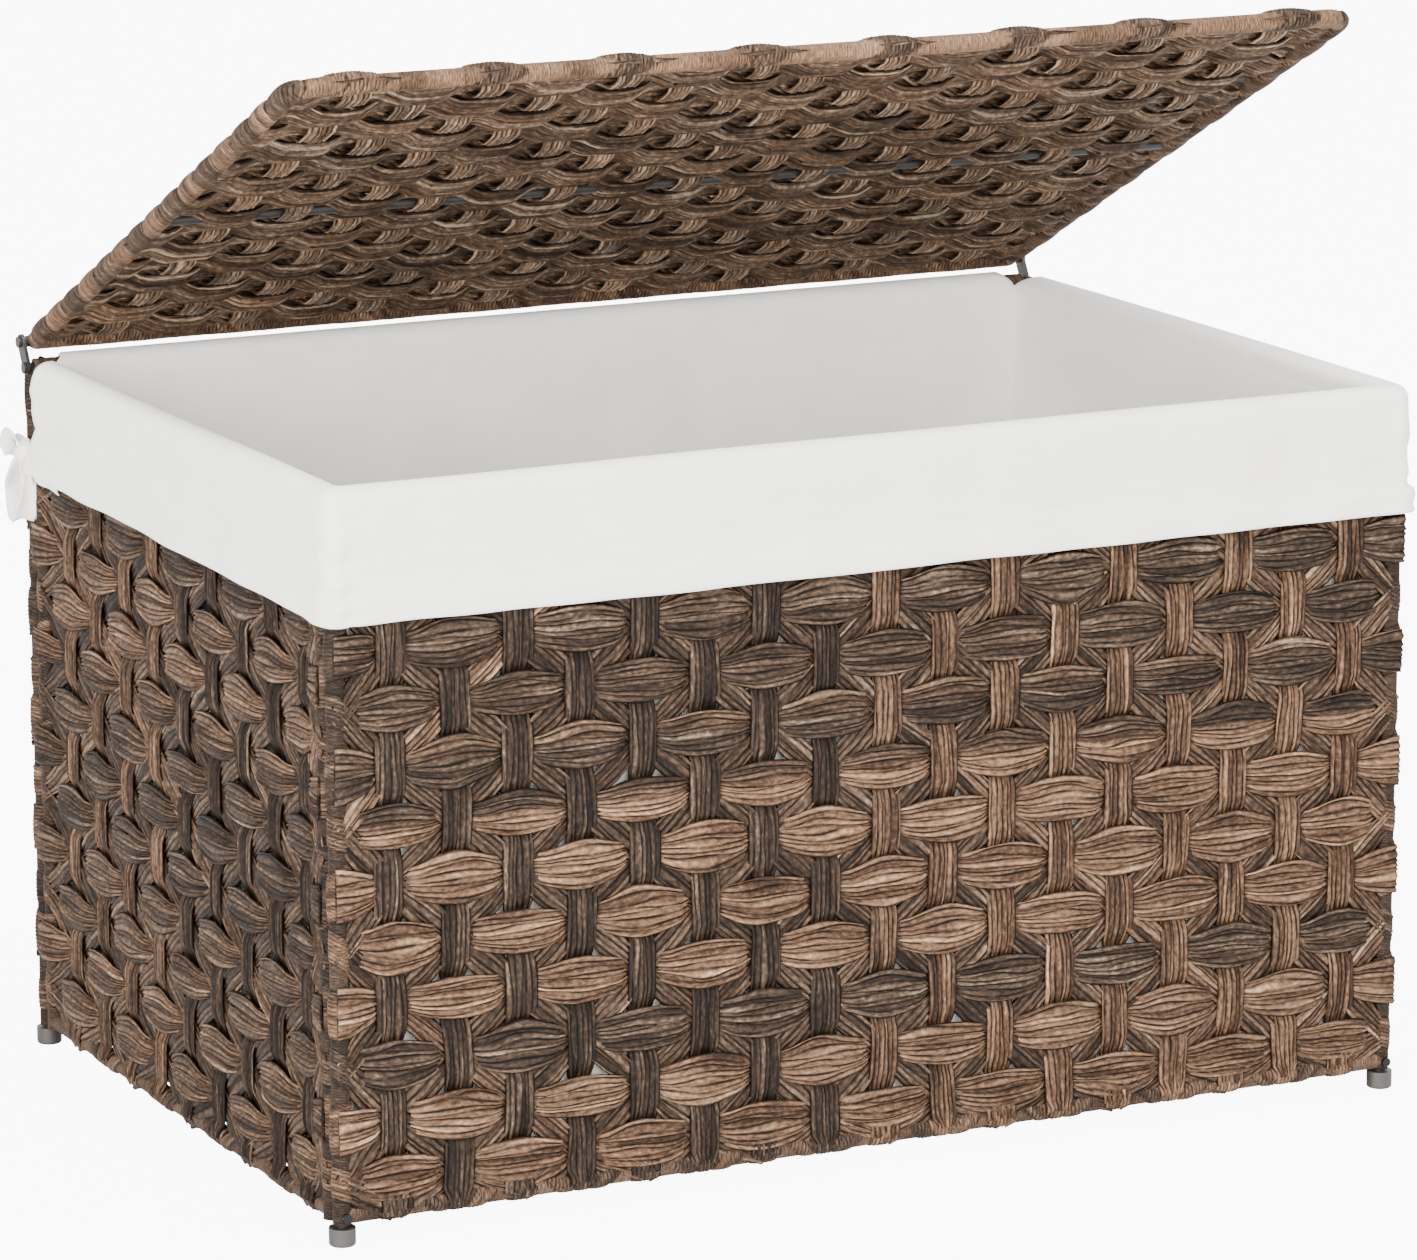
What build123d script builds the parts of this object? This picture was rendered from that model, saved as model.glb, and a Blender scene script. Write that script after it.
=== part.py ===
from build123d import *
import os
from math import cos, radians, sin, sqrt

# Woven laundry basket with a cloth liner and a hinged lid, in millimetres.
# +X runs along the long front towards the right, the front faces -Y and +Z is up.
# The origin is the middle of the footprint, on the floor. The lid stands part open.

# ---- driving dimensions -------------------------------------------------------------
body_width = 660.0         # outside of the woven body, along X
body_depth = 440.0         # outside of the woven body, along Y
rim_height = 410.0         # floor to the top of the liner's folded rim

rod_radius = 3.0           # uprights, lid rods and base rod, steel
rail_radius = 2.75         # top and bottom rods of the body panels
rear_rod_radius = 3.25     # the lid's rear rod, on the hinge axis
binding_radius = 6.0       # the same rods with ribbon wound round them
base_binding_radius = 5.0  # thinner winding on the base panel
weave_thickness = 6.0      # woven strands, all layers together
winding_slack = 0.3        # between a rod and the ribbon round it
clear_gap = 0.3            # between soft pieces that lie against each other
cross_fit = 0.2            # lid's cross rod where it passes through the winding, radial
rod_overrun = 0.2          # rails end this far past the side of an upright

foot_height = 10.0         # floor to the lowest ribbon
foot_radius = 7.3
foot_edge = 1.5            # rounding of the cap's lower edge
foot_floor = 3.0           # solid thickness under the upright in the cap
foot_fit = 0.1             # upright in the cap's socket, radial

bolt_radius = 1.5          # bolts through the uprights at the four corners
bolt_head_radius = 2.6
bolt_head_height = 1.8
bolt_seat = 0.05           # under the head
bolt_fit = 0.1             # radial, in its holes
upper_bolt_drop = 16.0     # below the top rod

lid_open = 26.8            # degrees above closed, as the lid stands
lid_side_inset = 4.0       # lid edge inside the body's side
lid_front_setback = 6.0    # lid edge behind the body's front when closed
lid_corner = 14.0          # bend of the lid frame's front corners, at the rod's middle
pivot_behind = 2.0         # hinge axis behind the body's back face

link_thickness = 2.0       # flat hinge links
link_eye = 4.5             # outer radius of both ends of a link
link_play = 0.1            # link to the end of the back rod
hinge_play = 0.3           # side play of the lid between its links
pin_radius = 2.0           # pins that the lid turns on
running_fit = 0.05         # radial, pin in link
pin_depth = 6.0            # pin in the end of the lid's rear rod
head_thickness = 1.5
head_radius = 3.2
rivet_radius = 1.5
rivet_depth = 1.0          # rivet in the end of the back panel's top rod
rivet_fit = 0.1

base_corner = 19.0         # bend of the base frame's corners
base_cross = 110.0         # base cross rods each side of the middle
base_cross_radius = 2.5

cloth = 1.2                # liner fabric
cuff_drop = 75.0           # how far the liner is folded down outside
cuff_stand = 2.4           # slack between the folded cuff and the woven body
side_slit = 14.0           # side cuffs stop this far before the back
back_slit = 22.0           # back flap stops this far before each side

tie_height = 9.0           # width of the tie strip
tie_thickness = 1.5
tie_length = 50.0          # strip along the side cuff
knot_size = (14.0, 16.0, 18.0)
knot_out = 9.0             # knot centre outside the body's side
knot_ahead = 2.0           # knot centre ahead of the body's back
knot_rise = 15.0           # knot centre above the cuff's lower edge
bow_size = (5.0, 14.0, 48.0)

# ---- places worked out from them ----------------------------------------------------
side_mid = body_width / 2 - binding_radius        # middle plane of the side panels
face_mid = body_depth / 2 - binding_radius        # middle plane of front and back
side_span = face_mid - 2 * binding_radius - clear_gap
bottom_rod = foot_height + clear_gap + binding_radius
top_rod = rim_height - cloth - clear_gap - binding_radius
rod_end = rod_radius + rod_overrun
bound = binding_radius + clear_gap

pivot_y = body_depth / 2 + pivot_behind
pivot_z = rim_height + clear_gap + binding_radius
lid_half = body_width / 2 - lid_side_inset - binding_radius
lid_run = pivot_y + body_depth / 2 - lid_front_setback - binding_radius
link_x = side_mid + rod_end + link_play
rear_rod_half = link_x - hinge_play

base_half_x = side_mid - weave_thickness / 2 - clear_gap - base_binding_radius
base_half_y = face_mid - weave_thickness / 2 - clear_gap - base_binding_radius
base_step = face_mid - base_half_y
base_reach = binding_radius + base_binding_radius + clear_gap
base_z = bottom_rod + sqrt(base_reach**2 - base_step**2)

bag_half_x = side_mid - bound
bag_half_y = face_mid - bound
bag_bottom = base_z + base_binding_radius + clear_gap
bag_top = rim_height - cloth
cuff_bottom = rim_height - cuff_drop
cuff_x = body_width / 2 + cuff_stand
cuff_y = body_depth / 2 + cuff_stand

PANELS = {
    "front": (Plane((0, -face_mid, 0), x_dir=(1, 0, 0), z_dir=(0, -1, 0)), side_mid),
    "back": (Plane((0, face_mid, 0), x_dir=(-1, 0, 0), z_dir=(0, 1, 0)), side_mid),
    "left": (Plane((-side_mid, 0, 0), x_dir=(0, -1, 0), z_dir=(-1, 0, 0)), side_span),
    "right": (Plane((side_mid, 0, 0), x_dir=(0, 1, 0), z_dir=(1, 0, 0)), side_span),
}
FOOTED = ("front", "back")
BASE_PLANE = Plane.XY.offset(base_z)
# The lid's plane: its local y is 0 on the hinge axis and negative towards the lid's edge.
LID_PLANE = Plane(
    (0, pivot_y, pivot_z),
    x_dir=(1, 0, 0),
    z_dir=(0, sin(radians(lid_open)), cos(radians(lid_open))),
)
BOLT_HEIGHTS = (bottom_rod, top_rod - upper_bolt_drop)
SIDES = {"left": -1, "right": 1}


def save(builder, name):
    """Label a finished piece and write it under its own name."""
    builder.part.label = name
    export_step(builder.part, f"parts/{name}.step")


def add_rod(plane, start, end, radius, mode=Mode.ADD):
    """A straight round bar between two local points of a plane."""
    first = plane.from_local_coords((*start, 0))
    run = plane.from_local_coords((*end, 0)) - first
    with BuildSketch(Plane(first, z_dir=run)) as section:
        Circle(radius)
    extrude(section.sketch, amount=run.length, mode=mode)


def add_bent_rod(path, radius, mode=Mode.ADD):
    """A round bar that follows a path."""
    with BuildSketch(Plane(path @ 0, z_dir=path % 0)) as section:
        Circle(radius)
    sweep(section.sketch, path=path, mode=mode)


def panel_rods(name, slack=0.0, mode=Mode.ADD):
    """The four rods of a body panel: two uprights, and a top and a bottom rail."""
    plane, half = PANELS[name]
    low = foot_floor if name in FOOTED else bottom_rod - (binding_radius if slack else 0)
    reach = half + rod_end + slack
    for x in (-half, half):
        add_rod(plane, (x, low), (x, top_rod + slack), rod_radius + slack, mode)
    for z in (bottom_rod, top_rod):
        add_rod(plane, (-reach, z), (reach, z), rail_radius + slack, mode)


def bolt_bores():
    """Clearance holes for the corner bolts, cut through whatever panel piece is open."""
    for plane, _ in (PANELS["front"], PANELS["back"]):
        for x in (-side_mid, side_mid):
            for z in BOLT_HEIGHTS:
                start = plane.from_local_coords((x, z, binding_radius))
                with BuildSketch(Plane(start, z_dir=-plane.z_dir)) as hole:
                    Circle(bolt_radius + bolt_fit)
                depth = face_mid - side_span + binding_radius + rod_radius
                extrude(hole.sketch, amount=depth, mode=Mode.SUBTRACT)


def lid_path():
    """Middle line of the lid's bent rod: side, rounded corner, front, corner, side."""
    with BuildLine(LID_PLANE) as line:
        FilletPolyline(
            (-lid_half, 0), (-lid_half, -lid_run), (lid_half, -lid_run), (lid_half, 0),
            radius=lid_corner,
        )
    return line.wire()


def base_path():
    """Middle line of the base frame's rod, a rectangle with rounded corners."""
    with BuildSketch(BASE_PLANE) as outline:
        RectangleRounded(2 * base_half_x, 2 * base_half_y, base_corner)
    return outline.sketch.face().outer_wire()


def lid_rods(slack=0.0, mode=Mode.ADD):
    """The lid's bent rod and the straight rear rod that lies on the hinge axis."""
    add_bent_rod(lid_path(), rod_radius + slack, mode)
    reach = rear_rod_half + slack
    add_rod(LID_PLANE, (-reach, 0), (reach, 0), rear_rod_radius + slack, mode)


def base_rods(slack=0.0, mode=Mode.ADD):
    """The base frame's closed rod and its two thinner cross rods."""
    add_bent_rod(base_path(), rod_radius + slack, mode)
    for x in (-base_cross, base_cross):
        add_rod(BASE_PLANE, (x, -base_half_y), (x, base_half_y),
                base_cross_radius + slack, mode)


os.makedirs("parts", exist_ok=True)

# ---- the four body panels: frame, binding and weave of each -------------------------
for name, (plane, half) in PANELS.items():
    with BuildPart() as frame:
        panel_rods(name)
        bolt_bores()
        if name == "back":
            # Rivet holes in the ends of the top rod, for the hinge links.
            for side in SIDES.values():
                end = side * (half + rod_end)
                inner = side * (half + rod_end - rivet_depth)
                add_rod(plane, (inner, top_rod), (end, top_rod),
                        rivet_radius + rivet_fit, Mode.SUBTRACT)
    save(frame, f"{name}_frame")

    with BuildPart() as binding:
        # On the back panel the winding stops short of the hinge links.
        upper_end = top_rod + (binding_radius if name != "back" else -link_eye - clear_gap)
        inside = half - bound
        for x in (-half, half):
            add_rod(plane, (x, bottom_rod - binding_radius), (x, upper_end), binding_radius)
        for z in (bottom_rod, top_rod):
            add_rod(plane, (-inside, z), (inside, z), binding_radius)
        panel_rods(name, winding_slack, Mode.SUBTRACT)
        bolt_bores()
    save(binding, f"{name}_binding")

    with BuildPart() as weave:
        with BuildSketch(plane):
            with Locations((0, (bottom_rod + top_rod) / 2)):
                Rectangle(2 * (half - bound), top_rod - bottom_rod - 2 * bound)
        extrude(amount=weave_thickness / 2, both=True)
    save(weave, f"{name}_weave")

# ---- base panel ---------------------------------------------------------------------
with BuildPart() as base_frame:
    base_rods()
save(base_frame, "base_frame")

with BuildPart() as base_binding:
    add_bent_rod(base_path(), base_binding_radius)
    base_rods(winding_slack, Mode.SUBTRACT)
save(base_binding, "base_binding")

with BuildPart() as base_weave:
    base_bound = base_binding_radius + clear_gap
    slot = 2 * (base_cross_radius + winding_slack)
    with BuildSketch(BASE_PLANE):
        RectangleRounded(
            2 * (base_half_x - base_bound), 2 * (base_half_y - base_bound),
            base_corner - base_bound,
        )
        with Locations((-base_cross, 0), (base_cross, 0)):
            Rectangle(slot, 2 * base_half_y, mode=Mode.SUBTRACT)
    extrude(amount=weave_thickness / 2, both=True)
save(base_weave, "base_weave")

# ---- lid ----------------------------------------------------------------------------
with BuildPart() as lid_frame:
    lid_rods()
    for side in SIDES.values():
        add_rod(LID_PLANE, (side * (rear_rod_half - pin_depth), 0), (side * rear_rod_half, 0),
                pin_radius + running_fit, Mode.SUBTRACT)
save(lid_frame, "lid_frame")

with BuildPart() as lid_cross_rod:
    cross_half = lid_half - rod_radius - clear_gap
    add_rod(LID_PLANE, (-cross_half, -lid_run / 2), (cross_half, -lid_run / 2), rod_radius)
save(lid_cross_rod, "lid_cross_rod")

with BuildPart() as lid_binding:
    # One length of winding for each straight rod and one for each rounded corner.
    corner_y = -lid_run + lid_corner
    corner_x = lid_half - lid_corner
    for side in SIDES.values():
        add_rod(LID_PLANE, (side * lid_half, rod_radius),
                (side * lid_half, corner_y + clear_gap), binding_radius)
        bend_start = 180 if side < 0 else 270
        with BuildLine(LID_PLANE) as bend:
            CenterArc((side * corner_x, corner_y), lid_corner, bend_start, 90)
        add_bent_rod(bend.wire(), binding_radius)
    add_rod(LID_PLANE, (-corner_x + clear_gap, -lid_run), (corner_x - clear_gap, -lid_run),
            binding_radius)
    add_rod(LID_PLANE, (-lid_half + bound, 0), (lid_half - bound, 0), binding_radius)
    lid_rods(winding_slack, Mode.SUBTRACT)
    add_rod(LID_PLANE, (-lid_half, -lid_run / 2), (lid_half, -lid_run / 2),
            rod_radius + cross_fit, Mode.SUBTRACT)
save(lid_binding, "lid_binding")

with BuildPart() as lid_weave:
    with BuildSketch(LID_PLANE) as bays:
        with Locations((0, -lid_run / 2)):
            Rectangle(2 * (lid_half - bound), lid_run - 2 * bound)
        fillet(bays.vertices().group_by(Axis.Z)[-1], lid_corner - bound)
        with Locations((0, -lid_run / 2)):
            Rectangle(2 * lid_half, 2 * (rod_radius + winding_slack), mode=Mode.SUBTRACT)
    extrude(amount=weave_thickness / 2, both=True)
save(lid_weave, "lid_weave")

# ---- feet and corner bolts ----------------------------------------------------------
for face, y_sign in (("front", -1), ("back", 1)):
    for side, x_sign in SIDES.items():
        with BuildPart() as foot:
            with BuildSketch(Plane((x_sign * side_mid, y_sign * face_mid, 0))):
                Circle(foot_radius)
            extrude(amount=foot_height)
            fillet(foot.edges().filter_by(GeomType.CIRCLE).group_by(Axis.Z)[0], foot_edge)
            with Locations((x_sign * side_mid, y_sign * face_mid, foot_height)):
                Hole(rod_radius + foot_fit, foot_height - foot_floor)
        save(foot, f"foot_{face}_{side}")

with BuildPart() as corner_bolts:
    for plane, _ in (PANELS["front"], PANELS["back"]):
        head_face = binding_radius + bolt_seat
        for x in (-side_mid, side_mid):
            for z in BOLT_HEIGHTS:
                seat = Plane(plane.from_local_coords((x, z, head_face)), z_dir=plane.z_dir)
                with BuildSketch(seat) as head:
                    Circle(bolt_head_radius)
                extrude(head.sketch, amount=bolt_head_height)
                with BuildSketch(seat) as shank:
                    Circle(bolt_radius)
                extrude(shank.sketch, amount=-(head_face + face_mid - side_span))
save(corner_bolts, "corner_bolts")

# ---- hinges -------------------------------------------------------------------------
for side, sign in SIDES.items():
    link_plane = Plane((sign * link_x, 0, 0), x_dir=(0, sign, 0), z_dir=(sign, 0, 0))
    pivot = (sign * pivot_y, pivot_z)
    anchor = (sign * face_mid, top_rod)

    with BuildPart() as link:
        with BuildSketch(link_plane):
            with Locations(anchor, pivot):
                Circle(link_eye)
            make_hull()
            with Locations(anchor):
                Circle(rivet_radius + rivet_fit, mode=Mode.SUBTRACT)
            with Locations(pivot):
                Circle(pin_radius + running_fit, mode=Mode.SUBTRACT)
        extrude(amount=link_thickness)
    save(link, f"hinge_link_{side}")

    for piece, centre, radius, depth in (
        ("hinge_pin", pivot, pin_radius, hinge_play + pin_depth),
        ("link_rivet", anchor, rivet_radius, link_play + rivet_depth),
    ):
        with BuildPart() as stud:
            with BuildSketch(link_plane.offset(-depth)) as shank:
                with Locations(centre):
                    Circle(radius)
            extrude(amount=depth + link_thickness + link_play)
            with BuildSketch(link_plane.offset(link_thickness + link_play)) as head:
                with Locations(centre):
                    Circle(head_radius)
            extrude(amount=head_thickness)
        save(stud, f"{piece}_{side}")

# ---- liner --------------------------------------------------------------------------
with BuildPart() as liner_bag:
    with BuildSketch(Plane.XY.offset(bag_bottom)):
        Rectangle(2 * bag_half_x, 2 * bag_half_y)
    extrude(amount=bag_top - bag_bottom)
    offset(amount=-cloth, openings=liner_bag.faces().sort_by(Axis.Z)[-1])
save(liner_bag, "liner_bag")


def folded_rim():
    """A band folded over the rim on all four sides: flat on top, hanging outside."""
    with BuildSketch(Plane.XY.offset(cuff_bottom)) as outside:
        Rectangle(2 * (cuff_x + cloth), 2 * (cuff_y + cloth))
    extrude(outside.sketch, amount=cuff_drop)
    with BuildSketch(Plane.XY.offset(cuff_bottom)) as hollow:
        Rectangle(2 * cuff_x, 2 * cuff_y)
    extrude(hollow.sketch, amount=cuff_drop - cloth, mode=Mode.SUBTRACT)
    with BuildSketch(Plane.XY.offset(cuff_bottom)) as mouth:
        Rectangle(2 * (bag_half_x - cloth), 2 * (bag_half_y - cloth))
    extrude(mouth.sketch, amount=cuff_drop, mode=Mode.SUBTRACT)


with BuildPart() as liner_cuff:
    folded_rim()
    with BuildSketch(Plane.XY.offset(cuff_bottom)):
        with Locations((0, body_depth / 2 - side_slit)):
            Rectangle(3 * body_width, body_depth, align=(Align.CENTER, Align.MIN))
    extrude(amount=cuff_drop, mode=Mode.SUBTRACT)
save(liner_cuff, "liner_cuff")

with BuildPart() as liner_back_flap:
    folded_rim()
    with BuildSketch(Plane.XY.offset(cuff_bottom)):
        with Locations((0, bag_half_y - cloth)):
            Rectangle(body_width - 2 * back_slit, body_depth, align=(Align.CENTER, Align.MIN))
    extrude(amount=cuff_drop, mode=Mode.INTERSECT)
save(liner_back_flap, "liner_back_flap")

# ---- ties: a strip on the side cuff, one on the back flap, the knot and its bow -----
for side, sign in SIDES.items():
    knot = (sign * (body_width / 2 + knot_out), body_depth / 2 - knot_ahead,
            cuff_bottom + knot_rise)
    strip_x = sign * (cuff_x + cloth + clear_gap + tie_thickness / 2)
    strip_y = cuff_y + cloth + clear_gap + tie_thickness / 2
    flap_x = body_width / 2 - back_slit
    with BuildPart() as tie:
        with Locations(knot):
            Box(*knot_size)
        with Locations((strip_x, knot[1], knot[2])):
            Box(tie_thickness, tie_length, tie_height,
                align=(Align.CENTER, Align.MAX, Align.CENTER))
        with Locations((sign * (flap_x + abs(knot[0])) / 2, strip_y, knot[2])):
            Box(abs(knot[0]) - flap_x + tie_height, tie_thickness, tie_height)
        with Locations(knot):
            Box(*bow_size, align=(Align.CENTER, Align.CENTER, Align.MAX))
    save(tie, f"tie_{side}")
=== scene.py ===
"""Looks of the woven laundry basket: ribbon weave, wound rods, cotton liner and steel hardware."""
import math

import bpy
import numpy as np
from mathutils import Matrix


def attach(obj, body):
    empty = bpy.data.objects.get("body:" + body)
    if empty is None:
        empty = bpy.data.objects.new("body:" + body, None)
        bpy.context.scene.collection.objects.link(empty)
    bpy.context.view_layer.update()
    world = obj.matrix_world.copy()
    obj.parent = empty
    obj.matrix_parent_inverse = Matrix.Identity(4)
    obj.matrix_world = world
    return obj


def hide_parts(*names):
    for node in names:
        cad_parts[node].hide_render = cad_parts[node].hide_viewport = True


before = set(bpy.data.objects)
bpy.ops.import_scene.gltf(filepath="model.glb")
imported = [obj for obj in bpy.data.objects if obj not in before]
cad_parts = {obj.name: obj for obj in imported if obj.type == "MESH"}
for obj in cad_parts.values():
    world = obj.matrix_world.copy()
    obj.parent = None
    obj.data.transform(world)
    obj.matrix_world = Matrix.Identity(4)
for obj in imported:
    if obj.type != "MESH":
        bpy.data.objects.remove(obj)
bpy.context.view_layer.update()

MM = 0.001
# Draws which slants carry lighter stock, in turn through all the panels.
stock_draws = np.random.default_rng(41)
# Upper end of a random phase, in radians.
ANY_PHASE = 6.28

# ---- sizes of the CAD part that the pieces are built on, in millimetres ----
# Middle planes of the side and face panels, and half the run of a side panel's rows.
SIDE_MID, FACE_MID, SIDE_SPAN = 324.0, 214.0, 201.7
# Heights of a panel's lowest and highest rods.
BOTTOM_ROD, TOP_ROD = 16.3, 402.5
# The line that the lid turns on, and how far it stands open, in degrees.
PIVOT_Y, PIVOT_Z, LID_OPEN = 222.0, 416.3, 26.8
# Half the lid's length, its depth from that line, and the radius of its front corners.
LID_HALF, LID_RUN, LID_CORNER = 320.0, 430.0, 14.0
BASE_Z, BASE_HALF_X, BASE_HALF_Y, BASE_CORNER = 23.97, 315.7, 205.7, 19.0
# Radii of the wound rods: most of them, the panels' lowest ones, and the base's.
WOUND, WOUND_LOW, WOUND_BASE = 5.2, 5.0, 4.4
CUFF_BOTTOM = 335.0
# Above this height the ribbons lie under the cuff, and rows and columns lie this low on the rods.
UNDER_CUFF, ROW_UNDER_CUFF, COLUMN_UNDER_CUFF = 325.0, 2.6, 3.0
# Width of one cord of a ribbon, for its pattern, and of one cord of a band round a rod.
CORD, BAND_CORD = 2.2, 2.3
# Cords side by side in a row, in a column and in a slant.
ROW_CORDS, COLUMN_CORDS, SLANT_CORDS = 8, 6, 5


# ---- small helpers ----
def smooth(x):
    """0 below 0, 1 above 1, and an even ease between."""
    x = np.clip(x, 0.0, 1.0)
    return x * x * (3.0 - 2.0 * x)


def wander(count, length, step, size, seed):
    """Slow random curves, one row each: values at every step samples, joined by cosine ease."""
    r = np.random.default_rng(seed)
    knots = r.normal(0.0, size, (count, int(length // step) + 3))
    t = np.arange(length) / step
    i = t.astype(int)
    f = (1 - np.cos(np.pi * (t - i))) / 2
    return knots[:, i] * (1 - f) + knots[:, i + 1] * f


lid_sin, lid_cos = math.sin(math.radians(LID_OPEN)), math.cos(math.radians(LID_OPEN))
# Origin in millimetres, and level, upright and outward directions, of each woven panel.
PLANES = {
    "front": [(0, -FACE_MID, 0), (1, 0, 0), (0, 0, 1), (0, -1, 0)],
    "back": [(0, FACE_MID, 0), (-1, 0, 0), (0, 0, 1), (0, 1, 0)],
    "left": [(-SIDE_MID, 0, 0), (0, -1, 0), (0, 0, 1), (-1, 0, 0)],
    "right": [(SIDE_MID, 0, 0), (0, 1, 0), (0, 0, 1), (1, 0, 0)],
    "lid": [(0, PIVOT_Y, PIVOT_Z), (-1, 0, 0), (0, -lid_cos, lid_sin), (0, lid_sin, lid_cos)],
    "base": [(0, 0, BASE_Z), (-1, 0, 0), (0, 1, 0), (0, 0, -1)],
}


def place(plane, a, b, n):
    """Points in the shared frame, in metres: origin + a level + b upright + n outward, in millimetres."""
    o, ea, eb, en = np.array(PLANES[plane], float)
    return (o + a[..., None] * ea + b[..., None] * eb + n[..., None] * en) * MM


# ---- meshes ----
def mesh_piece(name, batches, material, body, strip_caps=False):
    """One mesh from batches of closed tubes.

    A batch holds points (tube, station, around, 3) in metres, and tone, cord, groove and
    the cloth or ribbon's own along and across, each (tube, station, around). Quads join
    each station to the next and each point to its neighbour round the tube; both ends get
    a flat cap, and a tube that is a folded strip gets a row of quads there instead."""
    points, corners, starts, totals, fields, uvs = [], [], [], [], [[], [], []], []
    offset = loops = 0
    for p, tone, cord, groove_shade, along, across in batches:
        n, m, k = p.shape[:3]
        index = np.arange(n * m * k).reshape(n, m, k) + offset
        nxt = np.roll(index, -1, axis=2)
        quads = np.stack([index[:, :-1], nxt[:, :-1], nxt[:, 1:], index[:, 1:]], -1)
        if strip_caps:
            j = np.arange(k // 2 - 1)
            strip = np.stack([j, j + 1, k - 2 - j, k - 1 - j], -1)
            caps = np.concatenate([index[:, 0][:, strip[:, ::-1]], index[:, -1][:, strip]]).ravel()
            size = np.full((quads.size + caps.size) // 4, 4)
        else:
            caps = np.concatenate([index[:, 0, ::-1], index[:, -1]]).ravel()
            size = np.concatenate([np.full(quads.size // 4, 4), np.full(2 * n, k)])
        verts = np.concatenate([quads.ravel(), caps])
        uv = np.stack([np.broadcast_to(along, (n, m, k)), np.broadcast_to(across, (n, m, k))], -1)
        starts.append(loops + np.concatenate([[0], np.cumsum(size)[:-1]]))
        uvs.append(uv.reshape(-1, 2)[verts - offset])
        points.append(p.reshape(-1, 3))
        corners.append(verts)
        totals.append(size)
        for held, values in zip(fields, (tone, cord, groove_shade)):
            held.append(np.broadcast_to(values, (n, m, k)).ravel())
        offset += n * m * k
        loops += len(verts)
    points, corners = np.concatenate(points), np.concatenate(corners)
    starts, totals = np.concatenate(starts), np.concatenate(totals)
    mesh = bpy.data.meshes.new(name)
    mesh.vertices.add(len(points))
    mesh.vertices.foreach_set("co", points.astype(np.float32).ravel())
    mesh.loops.add(len(corners))
    mesh.loops.foreach_set("vertex_index", corners.astype(np.int32))
    mesh.polygons.add(len(starts))
    mesh.polygons.foreach_set("loop_start", starts.astype(np.int32))
    mesh.polygons.foreach_set("use_smooth", np.full(len(starts), True))
    layer = mesh.uv_layers.new(name="ribbon")
    layer.data.foreach_set("uv", np.concatenate(uvs).astype(np.float32).ravel())
    for label, values in zip(("tone", "cord", "groove_shade"), fields):
        held = mesh.attributes.new(label, "FLOAT", "POINT")
        held.data.foreach_set("value", np.concatenate(values).astype(np.float32))
    mesh.update(calc_edges=True)
    mesh.validate()
    mesh.materials.append(material)
    piece = bpy.data.objects.new(name, mesh)
    bpy.context.scene.collection.objects.link(piece)
    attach(piece, body)
    return piece


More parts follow.
